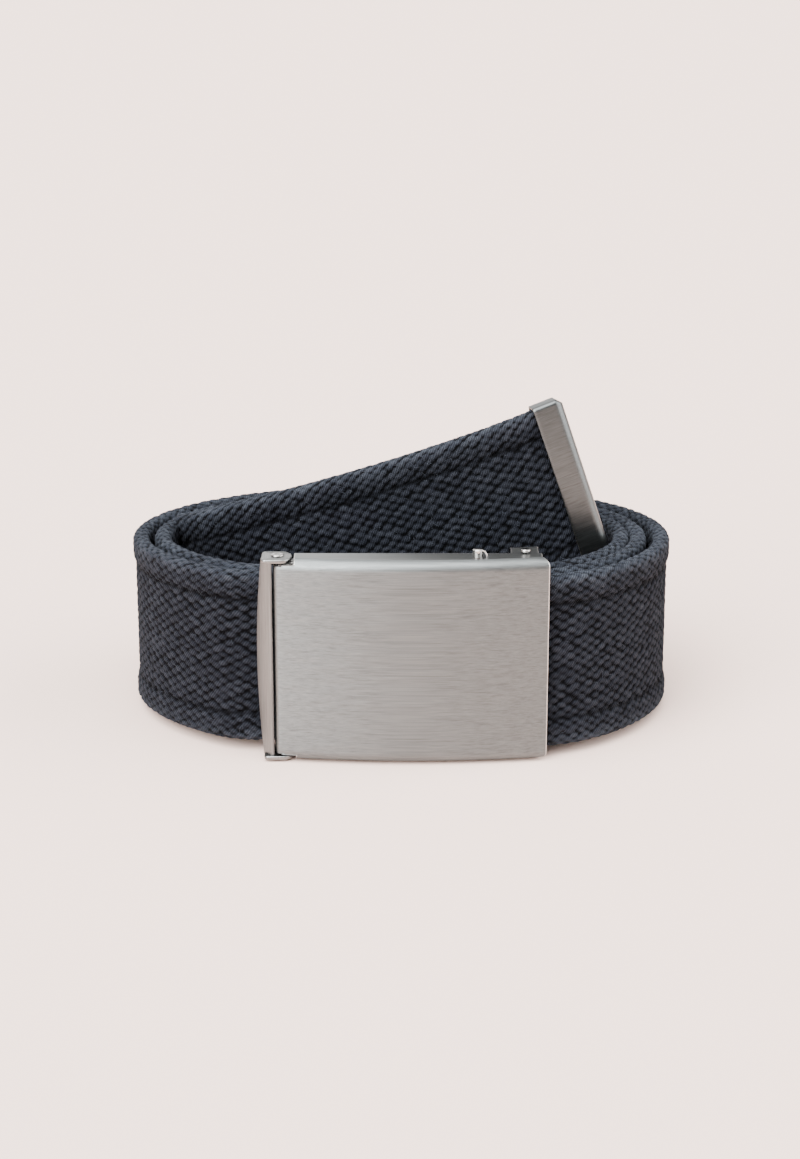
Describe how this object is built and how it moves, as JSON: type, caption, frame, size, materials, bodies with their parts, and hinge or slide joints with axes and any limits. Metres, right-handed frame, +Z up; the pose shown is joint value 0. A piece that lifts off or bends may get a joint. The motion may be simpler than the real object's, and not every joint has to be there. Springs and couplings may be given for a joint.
{
  "type": "webbing belt",
  "caption": "Rolled-up webbing belt standing on its edge, with a clamping box buckle at the front and a metal strap tip rising from the roll.",
  "frame": {"origin": "on the floor under the middle of the outline of the whole rolled belt", "axes": "+X to the right along the buckle, +Y from the buckle to the back of the roll, +Z up across the webbing's width"},
  "size_m": [0.1266, 0.095, 0.074],
  "materials": {
    "webbing": "thick dark navy cotton webbing, woven with rolled edges",
    "brushed_cover": "fine straight brushing, satin",
    "dark_fittings": "plain darker steel"
  },
  "bodies": {
    "root": {"webbing_strap": "webbing", "buckle_cover": "brushed_cover", "hinge_jaw": "brushed_cover", "rivet_top": "dark_fittings", "rivet_bottom": "dark_fittings", "end_clamp": "dark_fittings", "clamp_pivot_pin": "dark_fittings", "clamp_stop_pin": "dark_fittings", "strap_tip": "brushed_cover"}
  },
  "joints": []
}
